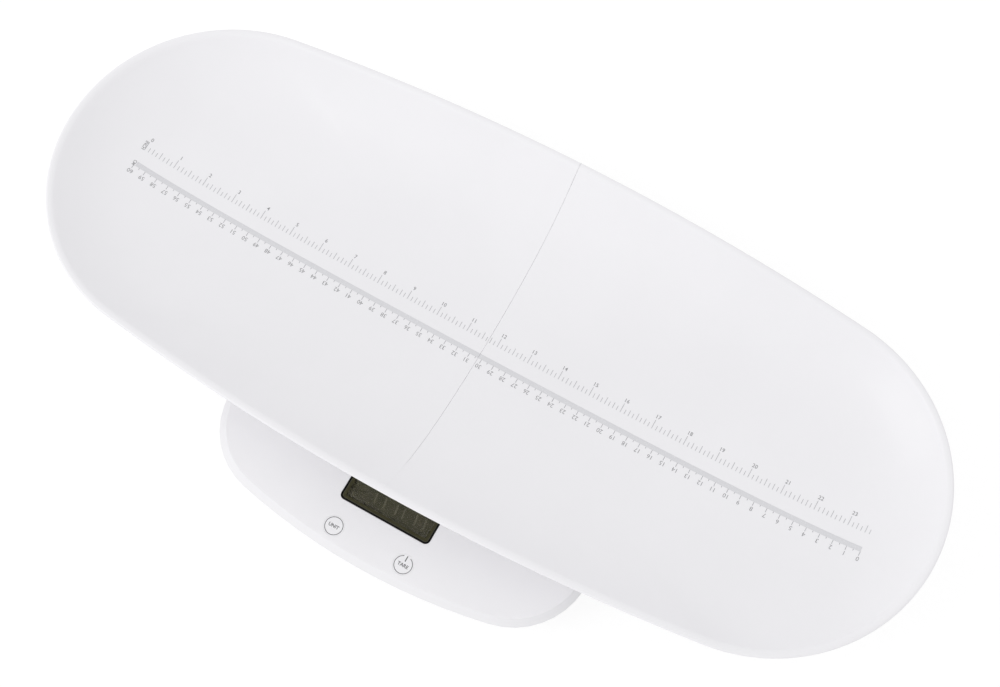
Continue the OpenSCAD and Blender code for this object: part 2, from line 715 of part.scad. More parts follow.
// A square cap that presses the load cell's rim down, with a way out for the wire
module load_cell_holder(x, y) {
    color(soft_white) at_foot(x, y) difference() {
        translate([0, 0, holder_z]) rounded_slab([holder_w, holder_w], 4, holder_h);
        translate([0, 0, holder_z - 1]) rounded_slab([cell_plate + 0.6, cell_plate + 0.6], 3, 3.7);
        translate([0, 0, holder_z - 1]) cylinder(r = 13, h = 5.6);
        translate([-x * 20, 0, holder_z + 1.2]) cube([12, 5, 4.4], center = true);
        for (k = [-1, 1]) translate([k * x * holder_screw, -k * y * holder_screw, 0]) {
            translate([0, 0, holder_z - 1]) cylinder(r = 1.6, h = holder_h + 2);
            translate([0, 0, holder_z + holder_h - 1.7]) cylinder(r = 2.8, h = 3);
        }
    }
}

module holder_screws() {
    color(steel) for (x = [-1, 1], y = [-1, 1]) at_foot(x, y) for (k = [-1, 1])
        translate([k * x * holder_screw, -k * y * holder_screw, holder_z + holder_h - 1.7])
            rotate([180, 0, 0]) screw(1.25, 6.6, 2.5, 1.6);
}

module foot_front_left() { foot(-1, -1); }
module foot_front_right() { foot(1, -1); }
module foot_rear_left() { foot(-1, 1); }
module foot_rear_right() { foot(1, 1); }
module foot_pad_front_left() { foot_pad(-1, -1); }
module foot_pad_front_right() { foot_pad(1, -1); }
module foot_pad_rear_left() { foot_pad(-1, 1); }
module foot_pad_rear_right() { foot_pad(1, 1); }
module load_cell_front_left() { load_cell(-1, -1); }
module load_cell_front_right() { load_cell(1, -1); }
module load_cell_rear_left() { load_cell(-1, 1); }
module load_cell_rear_right() { load_cell(1, 1); }
module load_cell_holder_front_left() { load_cell_holder(-1, -1); }
module load_cell_holder_front_right() { load_cell_holder(1, -1); }
module load_cell_holder_rear_left() { load_cell_holder(-1, 1); }
module load_cell_holder_rear_right() { load_cell_holder(1, 1); }

// ---------------------------------------------------------------- wires

// Routes on the right-hand side, mirrored for the left, each [x, y, z]
cell_edge_x = foot_at[0] - cell_plate / 2 - 0.1;
wire_z = floor_top_z + 1.4;
socket_z = board_z - connector[2] / 2;
wire_end_z = cell_plate_z + cell_plate_t / 2;
front_route = [
    [cell_edge_x, base_y - foot_at[1], wire_end_z], [cell_edge_x - 7, base_y - foot_at[1], wire_end_z],
    [cell_edge_x - 14, base_y - foot_at[1] + 2, wire_z], [54, base_y - 78, wire_z],
    [46, base_y - 66, wire_z], [34, base_y - 59, wire_z + 1], [30, board_back_y + 9, socket_z - 1.5],
    [30, board_back_y, socket_z],
];
rear_route = [
    [cell_edge_x, base_y + foot_at[1], wire_end_z], [cell_edge_x - 7, base_y + foot_at[1], wire_end_z],
    [cell_edge_x - 14, base_y + foot_at[1] - 2, wire_z], [56, base_y + 58, wire_z],
    [50, base_y + 18, wire_z], [36, base_y - 32, wire_z], [20, base_y - 56, wire_z + 0.6],
    [16, board_back_y + 9, socket_z - 1.5], [16, board_back_y, socket_z],
];

module load_cell_wire(route, x) {
    color([0.75, 0.12, 0.10]) wire(
        smooth_route([for (p = route) [x * p[0], p[1], p[2]]], 3), 1.1, 8, [0, 0, 1]
    );
}

module load_cell_wire_front_left() { load_cell_wire(front_route, -1); }
module load_cell_wire_front_right() { load_cell_wire(front_route, 1); }
module load_cell_wire_rear_left() { load_cell_wire(rear_route, -1); }
module load_cell_wire_rear_right() { load_cell_wire(rear_route, 1); }

// Two wires from the bay's front wall to the middle socket
module battery_wires() {
    bay_front_y = bay_y - bay_in[1] / 2 - bay_wall;
    color([0.12, 0.12, 0.13]) for (x = [-1, 1]) wire(
        smooth_route([
            [x * 6, bay_front_y - 0.4, 13], [x * 6, bay_front_y - 4, 13], [x * 4, base_y + 8, wire_z],
            [x * 2.4, base_y - 22, wire_z], [x * 1.6, base_y - 54, wire_z + 0.6],
            [x * 1.5, board_back_y + 9, socket_z - 1.5],
            [x * 1.5, board_back_y, socket_z],
        ], 3), 0.8, 8, [0, 0, 1]
    );
}

// ---------------------------------------------------------------- batteries

// Which way a cell's nub points along X: neighbours point opposite ways
function cell_way(i) = i % 2 == 0 ? 1 : -1;
module at_cell(i) {
    translate([0, bay_y + (i - 1) * cell_pitch, cell_z]) rotate([0, 0, cell_way(i) > 0 ? 0 : 180]) children();
}
nub_x = bay_in[0] / 2 - contact_t;

module battery_cell(i) {
    color([0.35, 0.37, 0.40]) at_cell(i) translate([nub_x, 0, 0]) rotate([0, -90, 0]) union() {
        cylinder(r = nub_d / 2, h = nub_l + 0.5);
        translate([0, 0, nub_l]) cylinder(r1 = cell_d / 2 - 0.4, r2 = cell_d / 2, h = 0.4);
        translate([0, 0, nub_l + 0.39]) cylinder(r = cell_d / 2, h = cell_length - nub_l - 0.39);
    }
}

module battery_cell_1() { battery_cell(0); }
module battery_cell_2() { battery_cell(1); }
module battery_cell_3() { battery_cell(2); }

// A plate on the bay's end wall at both ends of every cell
module battery_contacts() {
    color(steel) for (i = [0 : 2]) at_cell(i) for (x = [-1, 1])
        translate([x * (bay_in[0] - contact_t) / 2, 0, 0]) cube([contact_t, 9, 9], center = true);
}

// A conical spring behind the flat end of every cell
module battery_springs() {
    from_x = -nub_x;
    to_x = nub_x - cell_length;
    steps = spring_turns * 8;
    color(steel) for (i = [0 : 2]) at_cell(i) wire([for (k = [0 : steps])
        let (
            t = k / steps,
            r = 3.8 - 1.3 * t,
            turn = 360 * spring_turns * t
        )
        [
            from_x + spring_wire_r + 0.05 + (to_x - from_x - 2 * spring_wire_r - 0.1) * t,
            r * cos(turn),
            r * sin(turn),
        ]
    ], spring_wire_r, 6, [1, 0, 0]);
}

// A lid that tilts about its rear edge: two hooks reach over the floor behind it
module battery_door() {
    color(soft_white) translate([0, bay_y, foot_h]) difference() {
        union() {
            rounded_slab(door_size, 3 - door_gap, door_t);
            for (x = [-1, 1]) translate([x * hook_x - hook_w / 2, door_size[1] / 2 - 1.4, 0]) {
                cube([hook_w, 1.2, 4.2]);
                translate([0, 0, 2.7]) cube([hook_w, 5.2, 1.5]);
            }
            for (x = [-1, 1]) translate([x * 8 - 1, -door_size[1] / 2 + 4.2, door_t - 0.01]) cube([2, 2, 1.2]);
            translate([-5, -door_size[1] / 2 - 0.15, 0.6]) cube([10, 2, 0.8]);
        }
        for (k = [0 : 3]) translate([-9, -door_size[1] / 2 + 5 + 2 * k, -0.5]) cube([18, 0.8, 0.9]);
    }
}

tray_left();
tray_right();
tray_bracket();
tray_bracket_screws();
base_top_cover();
base_bottom_cover();
cover_screws();
display_window();
lcd_glass();
lcd_backlight();
lcd_frame();
main_board();
board_components();
board_screws();
key_switches();
unit_key();
unit_switch_plunger();
tare_key();
tare_switch_plunger();
foot_front_left();
foot_front_right();
foot_rear_left();
foot_rear_right();
foot_pad_front_left();
foot_pad_front_right();
foot_pad_rear_left();
foot_pad_rear_right();
load_cell_front_left();
load_cell_front_right();
load_cell_rear_left();
load_cell_rear_right();
load_cell_holder_front_left();
load_cell_holder_front_right();
load_cell_holder_rear_left();
load_cell_holder_rear_right();
holder_screws();
load_cell_wire_front_left();
load_cell_wire_front_right();
load_cell_wire_rear_left();
load_cell_wire_rear_right();
battery_wires();
battery_cell_1();
battery_cell_2();
battery_cell_3();
battery_contacts();
battery_springs();
battery_door();
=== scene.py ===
"""Looks of the digital baby weighing scale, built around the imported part. Metres, in the part's frame.

The tray's two halves are finer meshes of the part's dish. The rest are the part's own nodes with
detailed materials, and thin printed layers: the ruler, the keys' rings and words, and the display's
border, mask and marks.
"""

import json
import math

import bpy
import numpy as np
from mathutils import Matrix, Vector

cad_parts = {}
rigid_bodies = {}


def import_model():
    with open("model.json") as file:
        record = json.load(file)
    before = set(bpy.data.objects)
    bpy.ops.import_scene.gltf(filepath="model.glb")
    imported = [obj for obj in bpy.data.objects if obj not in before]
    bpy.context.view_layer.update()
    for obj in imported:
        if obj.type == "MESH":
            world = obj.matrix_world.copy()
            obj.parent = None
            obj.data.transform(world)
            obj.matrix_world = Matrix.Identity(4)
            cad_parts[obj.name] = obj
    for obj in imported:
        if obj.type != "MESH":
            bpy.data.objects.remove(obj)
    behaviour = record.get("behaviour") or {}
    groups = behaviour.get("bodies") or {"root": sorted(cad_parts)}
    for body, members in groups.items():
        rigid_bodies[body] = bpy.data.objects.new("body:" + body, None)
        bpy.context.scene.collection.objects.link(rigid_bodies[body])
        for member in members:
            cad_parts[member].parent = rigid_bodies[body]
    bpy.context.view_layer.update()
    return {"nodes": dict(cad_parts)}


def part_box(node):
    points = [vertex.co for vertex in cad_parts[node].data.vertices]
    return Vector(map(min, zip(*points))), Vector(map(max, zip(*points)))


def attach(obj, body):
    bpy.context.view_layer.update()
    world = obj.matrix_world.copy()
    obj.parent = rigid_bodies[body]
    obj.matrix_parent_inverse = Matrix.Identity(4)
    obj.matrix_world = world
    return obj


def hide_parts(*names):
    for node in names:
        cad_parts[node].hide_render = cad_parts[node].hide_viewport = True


for start_object in list(bpy.data.objects):
    bpy.data.objects.remove(start_object)

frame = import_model()
NODES = frame["nodes"]
MM = 0.001

# ------------------------------------------------------------------ the tray's size and place
# Millimetres. The tray's own origin is the bed's lowest point, in the middle of its length and width.
TRAY_DEPTH = 47.9
tray_low, tray_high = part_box("tray_right")
TRAY_Y = (tray_low.y + tray_high.y) / 2 / MM
BED_Z = tray_high.z / MM - TRAY_DEPTH

# ------------------------------------------------------------------ camera
# The view was fitted to the ruler's ticks, the seam and the tray's outline.
AZIMUTH = math.radians(29.398)
ELEVATION = math.radians(69.818)
CAMERA_FROM_BED = Vector((211.32, -354.04, 1124.19))
CAMERA_PLACE = (CAMERA_FROM_BED + Vector((0, TRAY_Y, BED_Z))) * MM
SENSOR_MM = 36.0
FOCAL_PIXELS = 1641.754
IMAGE_WIDTH = 1000
CAMERA_FAR = 50

back = Vector((
    math.sin(AZIMUTH) * math.cos(ELEVATION),
    -math.cos(AZIMUTH) * math.cos(ELEVATION),
    math.sin(ELEVATION),
))
right = Vector((math.cos(AZIMUTH), math.sin(AZIMUTH), 0))
up = back.cross(right)
camera_data = bpy.data.cameras.new("camera")
camera_data.sensor_width = SENSOR_MM
camera_data.sensor_fit = "HORIZONTAL"
camera_data.lens = FOCAL_PIXELS * SENSOR_MM / IMAGE_WIDTH
camera_data.clip_end = CAMERA_FAR
camera = bpy.data.objects.new("camera", camera_data)
bpy.context.scene.collection.objects.link(camera)
turn = Matrix((right, up, back)).transposed().to_4x4()
camera.matrix_world = Matrix.Translation(CAMERA_PLACE) @ turn
bpy.context.scene.camera = camera

# ------------------------------------------------------------------ materials


class Tree:
    """A node tree, with short calls to add to it."""

    def __init__(self, tree):
        self.tree = tree

    def add(self, kind, **settings):
        node = self.tree.nodes.new(kind)
        for key, value in settings.items():
            setattr(node, key, value)
        return node

    def link(self, a, b):
        self.tree.links.new(a, b)

    def fill(self, socket, value):
        """Gives a socket another socket's value, a number or a colour."""
        if isinstance(value, bpy.types.NodeSocket):
            self.link(value, socket)
        elif isinstance(value, tuple):
            socket.default_value = (*value, 1)
        else:
            socket.default_value = value

    def math(self, operation, a, b):
        node = self.add("ShaderNodeMath", operation=operation)
        self.fill(node.inputs[0], a)
        self.fill(node.inputs[1], b)
        return node.outputs[0]

    def spread(self, value, low, high, start=0.3, end=0.7, smooth=False):
        """value, from start to end, spread over low to high."""
        node = self.add("ShaderNodeMapRange")
        if smooth:
            node.interpolation_type = "SMOOTHSTEP"
        for name, number in (("From Min", start), ("From Max", end), ("To Min", low), ("To Max", high)):
            node.inputs[name].default_value = number
        self.link(value, node.inputs["Value"])
        return node.outputs["Result"]

    def blend(self, value, first, second):
        """A colour between first and second."""
        node = self.add("ShaderNodeMix", data_type="RGBA")
        self.fill(node.inputs[6], first)
        self.fill(node.inputs[7], second)
        self.link(value, node.inputs[0])
        return node.outputs[2]

    def height(self, vector):
        node = self.add("ShaderNodeSeparateXYZ")
        self.link(vector, node.inputs[0])
        return node.outputs["Z"]

    def mix_shaders(self, value, first, second):
        node = self.add("ShaderNodeMixShader")
        for socket, source in zip(node.inputs, (value, first, second)):
            self.link(source, socket)
        return node.outputs[0]

    def shader(self, kind, **values):
        node = self.add(kind)
        for name, value in values.items():
            self.fill(node.inputs[name], value)
        return node.outputs[0]

    def seen_directly(self):
        """1 for camera, glossy and transmission rays."""
        path = self.add("ShaderNodeLightPath")
        total = path.outputs["Is Camera Ray"]
        for name in ("Is Glossy Ray", "Is Transmission Ray"):
            total = self.math("MAXIMUM", total, path.outputs[name])
        return total


class Nodes(Tree):
    """A material with the principled shader."""

    def __init__(self, name):
        self.material = bpy.data.materials.new(name)
        self.material.use_nodes = True
        super().__init__(self.material.node_tree)
        self.principled = self.tree.nodes["Principled BSDF"]
        self.place = self.add("ShaderNodeTexCoord").outputs["Object"]

    def noise(self, scale, detail=3.0, stretch=None):
        """A noise texture's value, scale in cycles a metre."""
        node = self.add("ShaderNodeTexNoise")
        node.inputs["Scale"].default_value = scale
        node.inputs["Detail"].default_value = detail
        node.inputs["Roughness"].default_value = 0.55
        source = self.place
        if stretch:
            mapping = self.add("ShaderNodeMapping")
            mapping.inputs["Scale"].default_value = stretch
            self.link(source, mapping.inputs["Vector"])
            source = mapping.outputs["Vector"]
        self.link(source, node.inputs["Vector"])
        return node.outputs["Fac"]

    def colour(self, socket):
        self.link(socket, self.principled.inputs["Base Color"])

    def roughness(self, socket):
        self.link(socket, self.principled.inputs["Roughness"])

    def bump(self, height, distance, strength=1.0):
        node = self.add("ShaderNodeBump")
        node.inputs["Distance"].default_value = distance
        node.inputs["Strength"].default_value = strength
        self.link(height, node.inputs["Height"])
        self.link(node.outputs["Normal"], self.principled.inputs["Normal"])

    def set(self, **values):
        for name, value in values.items():
            self.principled.inputs[name.replace("_", " ")].default_value = value


# A grain's cycles a metre and its depth in metres
POLISHED = (2600, 0.000006)
SATIN = (2600, 0.000008)
GRAINED = (1500, 0.00003)
UNPOLISHED = (800, 0.00003)
SMALL_PARTS = (1800, 0.00001)
DIFFUSER_GRAIN = (900, 0.00001)
WIRE_GRAIN = (700, 0.00001)
# Painted shade: how far below the top the darker side colour is full, and where it gives way to the
# top's colour, in metres
PAINTED_SHADE_EDGE = (0.00014, 0.00004)


def plastic(name, colour, rough, grain, drift=0.012, coat=0.0, side=None):
    """Moulded plastic: faint colour drift, uneven gloss and a fine grain.

    side is painted shade: a darker colour given to everything below a height, and that height."""
    m = Nodes(name)
    low = tuple(c * (1 - drift) for c in colour)
    high = tuple(min(1, c * (1 + drift)) for c in colour)
    shade = m.blend(m.spread(m.noise(9), 0, 1), low, high)
    # Painted shade: below the top the darker side colour takes over, so a lit top and shaded sides are
    # painted in
    if side:
        painted_shade_colour, top_z = side
        start, end = (top_z - drop for drop in PAINTED_SHADE_EDGE)
        shade = m.blend(m.spread(m.height(m.place), 0, 1, start, end), painted_shade_colour, shade)
    m.colour(shade)
    uneven = m.math("ADD", m.spread(m.noise(34, 5), -0.04, 0.04), m.spread(m.noise(900), -0.03, 0.03))
    m.roughness(m.math("ADD", uneven, rough))
    grain_scale, grain_depth = grain
    m.bump(m.noise(grain_scale, 2), grain_depth)
    m.set(IOR=1.46)
    if coat:
        m.set(Coat_Weight=coat, Coat_Roughness=0.12)
    return m.material


def metal(name, colour, rough):
    """Plated steel with drawn streaks and faint tarnish."""
    m = Nodes(name)
    m.set(Metallic=1.0)
    dark = tuple(c * 0.82 for c in colour)
    m.colour(m.blend(m.spread(m.noise(160, 4), 0, 1), dark, colour))
    streaks = m.noise(1600, 2, stretch=(1, 1, 14))
    m.roughness(m.math("ADD", m.spread(streaks, -0.08, 0.08), rough))
    m.bump(streaks, 0.00001)
    return m.material


def ink(name, colour, rough=0.5, ior=1.45):
    """A printed layer: even colour with faint starved specks."""
    m = Nodes(name)
    m.set(IOR=ior)
    pale = tuple(c * 1.2 + 0.01 for c in colour)
    m.colour(m.blend(m.spread(m.noise(2400, 2), 0, 1, 0.5, 0.75), colour, pale))
    m.roughness(m.spread(m.noise(700), rough - 0.05, rough + 0.05))
    return m.material


def rubber(name, colour, rough=0.72):
    """Moulded rubber: matt, with a coarse grain and pale dust."""
    m = Nodes(name)
    dusty = tuple(c + (0.6 - c) * 0.15 for c in colour)
    m.colour(m.blend(m.spread(m.noise(120, 5), 0, 1, 0.45, 0.75), colour, dusty))
    m.roughness(m.spread(m.noise(600), rough - 0.08, rough + 0.08))
    m.bump(m.noise(1500, 2), 0.00004)
    return m.material


def circuit_board():
    """Green solder mask over faint copper tracks."""
    m = Nodes("board_green")
    bricks = m.add("ShaderNodeTexBrick")
    bricks.inputs["Scale"].default_value = 160
    bricks.inputs["Mortar Size"].default_value = 0.03
    m.link(m.place, bricks.inputs["Vector"])
    greens = {"Color1": (0.02, 0.12, 0.05), "Color2": (0.02, 0.14, 0.06), "Mortar": (0.06, 0.24, 0.09)}
    for name, green in greens.items():
        m.fill(bricks.inputs[name], green)
    m.colour(bricks.outputs["Color"])
    m.roughness(m.spread(m.noise(260), 0.28, 0.42))
    m.bump(bricks.outputs["Fac"], 0.00003, 0.5)
    return m.material


def clear_window():
    """Clear plate over the display, lightly smoked."""
    m = Nodes("clear_window")
    m.set(Base_Color=(0.93, 0.93, 0.90, 1), Transmission_Weight=1.0, IOR=1.12)
    m.roughness(m.spread(m.noise(300, 4), 0.03, 0.06))
    return m.material


def lcd_panel():
    """Unlit liquid crystal panel, olive with a faint mottle."""
    m = Nodes("lcd_olive")
    m.colour(m.blend(m.spread(m.noise(70), 0, 1), (0.058, 0.055, 0.026), (0.066, 0.060, 0.034)))
    m.roughness(m.spread(m.noise(500), 0.40, 0.5))
    m.bump(m.noise(4000, 1), 0.000004)
    return m.material


def cell_sleeve():
    """A battery cell's foil sleeve, dark blue with drawn streaks."""
    m = Nodes("cell_sleeve")
    m.set(Metallic=0.65)
    m.colour(m.blend(m.spread(m.noise(60, 4), 0, 1), (0.10, 0.13, 0.18), (0.14, 0.17, 0.22)))
    m.roughness(m.spread(m.noise(400, stretch=(1, 12, 12)), 0.26, 0.38))
    return m.material


TRAY_WHITE = (0.836, 0.830, 0.852)
# The base top's white is lifted above the tray's as painted light, against the tray's shade on it; the
# sides below the top get a darker painted shade
BASE_TOP_PAINTED_LIGHT_WHITE = (0.905, 0.898, 0.918)
BASE_SIDE_PAINTED_SHADE_WHITE = (0.83, 0.825, 0.845)
BASE_PAINTED_SIDE_SHADE = (BASE_SIDE_PAINTED_SHADE_WHITE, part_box("base_top_cover")[1].z)
tray_plastic = plastic("tray_white", TRAY_WHITE, 0.42, POLISHED, coat=0.08)
base_plastic = plastic("base_white_painted_shading", BASE_TOP_PAINTED_LIGHT_WHITE, 0.42, SATIN, coat=0.05, side=BASE_PAINTED_SIDE_SHADE)
grained_plastic = plastic("grained_white", (0.77, 0.77, 0.785), 0.52, GRAINED)
inner_plastic = plastic("unpolished_white", (0.72, 0.72, 0.70), 0.58, UNPOLISHED, drift=0.02)
# The keys share the base top's white, lifted as painted light
key_plastic = plastic("key_white_painted_light", BASE_TOP_PAINTED_LIGHT_WHITE, 0.40, POLISHED, coat=0.05)
black_plastic = plastic("black_plastic", (0.022, 0.022, 0.024), 0.42, SMALL_PARTS, drift=0.1)
board_parts = plastic("board_parts", (0.60, 0.57, 0.47), 0.45, SMALL_PARTS, drift=0.04)
diffuser = plastic("diffuser", (0.74, 0.74, 0.66), 0.5, DIFFUSER_GRAIN)
black_wire = plastic("black_wire", (0.03, 0.03, 0.03), 0.42, WIRE_GRAIN, drift=0.05)
red_wire = plastic("red_wire", (0.45, 0.03, 0.02), 0.42, WIRE_GRAIN, drift=0.05)
foot_plastic = plastic("foot_white", (0.70, 0.70, 0.715), 0.5, GRAINED)
plated_steel = metal("plated_steel", (0.62, 0.63, 0.65), 0.30)
spring_steel = metal("spring_steel", (0.70, 0.70, 0.69), 0.2)
foot_rubber = rubber("foot_rubber", (0.10, 0.105, 0.115))
ruler_grey = ink("ruler_grey", (0.652, 0.652, 0.675))
inch_tick_grey = ink("inch_tick_grey", (0.43, 0.43, 0.445))
cm_tick_grey = ink("cm_tick_grey", (0.35, 0.35, 0.37))
inch_grey = ink("inch_grey", (0.26, 0.26, 0.27))
cm_grey = ink("numeral_grey", (0.31, 0.31, 0.32))
key_ink = ink("key_ink", (0.085, 0.085, 0.09))
border_black = ink("border_black", (0.006, 0.006, 0.005), 0.4, 1.15)
# Painted highlight: a thin light line inside the display's border, standing for a glint on the window's
# edge
painted_edge_glint = ink("painted_edge_glint", (0.10, 0.095, 0.075), 0.4, 1.15)
mask_olive = ink("mask_olive", (0.050, 0.047, 0.024), 0.45, 1.15)
segment_ghost = ink("segment_ghost", (0.125, 0.118, 0.078), 0.45)
sleeve = cell_sleeve()

NODE_MATERIALS = {
    "tray_bracket": grained_plastic,
    "base_top_cover": base_plastic,
    "base_bottom_cover": grained_plastic,
    "battery_door": grained_plastic,
    "display_window": clear_window(),
    "lcd_glass": lcd_panel(),
    "lcd_backlight": diffuser,
    "lcd_frame": inner_plastic,
    "main_board": circuit_board(),
    "board_components": board_parts,
    "key_switches": black_plastic,
    "unit_switch_plunger": black_plastic,
    "tare_switch_plunger": black_plastic,
    "unit_key": key_plastic,
    "tare_key": key_plastic,
    "tray_bracket_screws": plated_steel,
    "cover_screws": plated_steel,
    "board_screws": plated_steel,
    "holder_screws": plated_steel,
    "battery_contacts": spring_steel,
    "battery_springs": spring_steel,
    "battery_wires": black_wire,
}
for corner in ("front_left", "front_right", "rear_left", "rear_right"):
    NODE_MATERIALS["foot_" + corner] = foot_plastic
    NODE_MATERIALS["foot_pad_" + corner] = foot_rubber
    NODE_MATERIALS["load_cell_" + corner] = plated_steel
    NODE_MATERIALS["load_cell_holder_" + corner] = inner_plastic
    NODE_MATERIALS["load_cell_wire_" + corner] = red_wire
for number in (1, 2, 3):
    NODE_MATERIALS[f"battery_cell_{number}"] = sleeve

CAD_WELD = 1e-6
CAD_SMOOTH = math.radians(28)
CAD_EVENNESS = 80


def smooth_shading(piece, weld_distance, angle, evenness):
    """Smooth faces between edges sharper than angle."""
    piece.modifiers.new("weld", "WELD").merge_threshold = weld_distance
    split = piece.modifiers.new("split", "EDGE_SPLIT")
    split.split_angle = angle
    split.use_edge_sharp = False
    piece.modifiers.new("weighted", "WEIGHTED_NORMAL").weight = evenness


def dress(node, material):
    """Gives a CAD node its material and smooth shading, with its mesh left as it is."""
    data = node.data
    for slot in node.material_slots:
        slot.material = material
    normals = data.attributes.get("custom_normal")
    if normals:
        data.attributes.remove(normals)
    data.shade_smooth()
    smooth_shading(node, CAD_WELD, CAD_SMOOTH, CAD_EVENNESS)


for node_name, node_material in NODE_MATERIALS.items():
    dress(NODES[node_name], node_material)

# ------------------------------------------------------------------ tray
# The part's dish on finer rings, with a tighter shoulder. Millimetres from the bed's lowest point.
END_R = 128.0
END_RISE = 10.5
END_CURL = 17.0
SIDE_RISE = 24.2
SIDE_CURL = 16.7
WALL_SLOPE = math.radians(46)
SHOULDER_R = 6.5
BED_INSET = 10.13
WALL_T = 3.0
EDGE_R = WALL_T / 2
SEAM_GAP = 0.15
SEAM_HAIR = 0.03
SEAM_CLOSES = (100.0, 117.0)
HALF_LEN = tray_high.x / MM - SEAM_GAP / 2
HALF_WID = (tray_high.y - tray_low.y) / 2 / MM
END_CX = HALF_LEN - END_R
END_DROP = HALF_WID - END_R
SIDE_CY = (END_CX**2 - END_DROP**2) / (2 * END_DROP)
SIDE_R = SIDE_CY + HALF_WID
JOIN = math.atan2(SIDE_CY, END_CX)
LIP_WIDTH = EDGE_R + SHOULDER_R * math.sin(WALL_SLOPE)
WALL_TOP = TRAY_DEPTH - SHOULDER_R * (1 - math.cos(WALL_SLOPE))
BED_HL = HALF_LEN - BED_INSET
BED_HW = HALF_WID - BED_INSET
SIDE_STEPS = 28
END_STEPS = 96
RINGS = 56
SHOULDER_STEPS = 12
EDGE_STEPS = 12
BACK_STEPS = 5
TONGUE_HALF_LENGTH = 120.0
TONGUE_DEPTH = 1.55
TONGUE_HALF_T = 0.5
GROOVE_DEPTH = 1.9
GROOVE_HALF_T = 0.7
INNERMOST = 1e-4
TRAY_WELD = 2e-6
TRAY_SMOOTH = math.radians(35)
TRAY_EVENNESS = 60
CLOSER_OUTWARDS = 1.6


def bed_height(x, y):
    u, v = x / BED_HL, y / BED_HW
    return END_RISE * u**2 + END_CURL * u**4 + SIDE_RISE * v**2 + SIDE_CURL * v**4


def bed_slope(x, y):
    sx = 2 * END_RISE * x / BED_HL**2 + 4 * END_CURL * x**3 / BED_HL**4
    sy = 2 * SIDE_RISE * y / BED_HW**2 + 4 * SIDE_CURL * y**3 / BED_HW**4
    return sx, sy


def outline():
    """Rows of arc centre x, y, radius and angle along a half's rim, from the seam round to the seam."""
    step = (math.pi / 2 - JOIN) / SIDE_STEPS
    first = [(0, SIDE_CY, SIDE_R, step * i - math.pi / 2) for i in range(SIDE_STEPS)]
    end = [(END_CX, 0, END_R, JOIN * (2 * i / END_STEPS - 1)) for i in range(END_STEPS + 1)]
    last = [(0, -SIDE_CY, SIDE_R, JOIN + step * i) for i in range(1, SIDE_STEPS + 1)]
    return np.array(first + end + last)


def rim_points(arcs, inset):
    reach = arcs[:, 2] - inset
    return arcs[:, 0] + reach * np.cos(arcs[:, 3]), arcs[:, 1] + reach * np.sin(arcs[:, 3])


def wall(px, py, out_x, out_y):
    """The wall's climb over the bed at a rim point, and the power that brings it in at WALL_SLOPE."""
    rise = WALL_TOP - bed_height(px, py)
    sx, sy = bed_slope(px, py)
    power = (math.tan(WALL_SLOPE) * (px * out_x + py * out_y) - px * sx - py * sy) / rise
    return rise, power


def dish(arcs, s):
    """The dish's upper face at fraction s of the way out: points and unit normals."""
    px, py = rim_points(arcs, LIP_WIDTH)
    out_x, out_y = np.cos(arcs[:, 3]), np.sin(arcs[:, 3])
    rise, power = wall(px, py, out_x, out_y)
    climb = s ** (power - 1)
    rim_sx, rim_sy = bed_slope(px, py)
    sx, sy = bed_slope(s * px, s * py)
    along_s = np.stack([px, py, sx * px + sy * py + power * rise * climb], 1)
    along_t = np.stack([-out_y, out_x, (sy - rim_sy * climb) * out_x - (sx - rim_sx * climb) * out_y], 1)
    normal = np.cross(along_s, along_t)
    normal /= np.linalg.norm(normal, axis=1)[:, None]
    points = np.stack([s * px, s * py, bed_height(s * px, s * py) + rise * s * climb], 1)
    return points, normal


def lip_section():
    """From the wall outwards and back under: insets from the outline and depths below the lip's top."""
    rows = []
    for k in range(1, SHOULDER_STEPS + 1):
        turned = WALL_SLOPE * (1 - k / SHOULDER_STEPS)
        rows.append((EDGE_R + SHOULDER_R * math.sin(turned), SHOULDER_R * (1 - math.cos(turned))))
    for k in range(1, EDGE_STEPS + 1):
        turned = math.pi * k / EDGE_STEPS
        rows.append((EDGE_R * (1 - math.sin(turned)), EDGE_R * (1 - math.cos(turned))))
    back_r = SHOULDER_R - WALL_T
    for k in range(1, BACK_STEPS):
        turned = WALL_SLOPE * k / BACK_STEPS
        rows.append((EDGE_R + back_r * math.sin(turned), SHOULDER_R - back_r * math.cos(turned)))
    return rows


def new_mesh(name, points, faces, material, smooth=True):
    """A mesh object from points in metres."""
    data = bpy.data.meshes.new(name)
    data.from_pydata([tuple(map(float, p)) for p in points], [], [tuple(map(int, f)) for f in faces])
    data.update()
    data.materials.append(material)
    if smooth:
        data.shade_smooth()
    made = bpy.data.objects.new(name, data)
    bpy.context.scene.collection.objects.link(made)
    return made


def grid_faces(rows, columns, first=0, flip=False):
    faces = []
    for j in range(rows - 1):
        for i in range(columns - 1):
            a = first + j * columns + i
            quad = (a, a + 1, a + columns + 1, a + columns)
            faces.append(quad[::-1] if flip else quad)
    return faces


def seam_face(near):
    """Half the seam's gap, at a distance towards the near side, where it closes to a hair."""
    start, end = SEAM_CLOSES
    closed = min(1, max(0, (near - start) / (end - start)))
    return (SEAM_GAP + (SEAM_HAIR - SEAM_GAP) * closed) / 2


def seam_profile(y, top, under, face, grooved):
    """Points down the seam's face at y: the half's own face with a groove or a tongue."""
    middle = (top + under) / 2
    half = min(GROOVE_HALF_T if grooved else TONGUE_HALF_T, (top - under) * 0.3)
    reach = GROOVE_DEPTH if grooved else -TONGUE_DEPTH
    edge = face + (reach if abs(y) <= TONGUE_HALF_LENGTH else 0)
    return [
        (face, y, top), (face, y, middle + half), (edge, y, middle + half),
        (edge, y, middle - half), (face, y, middle - half), (face, y, under),
    ]


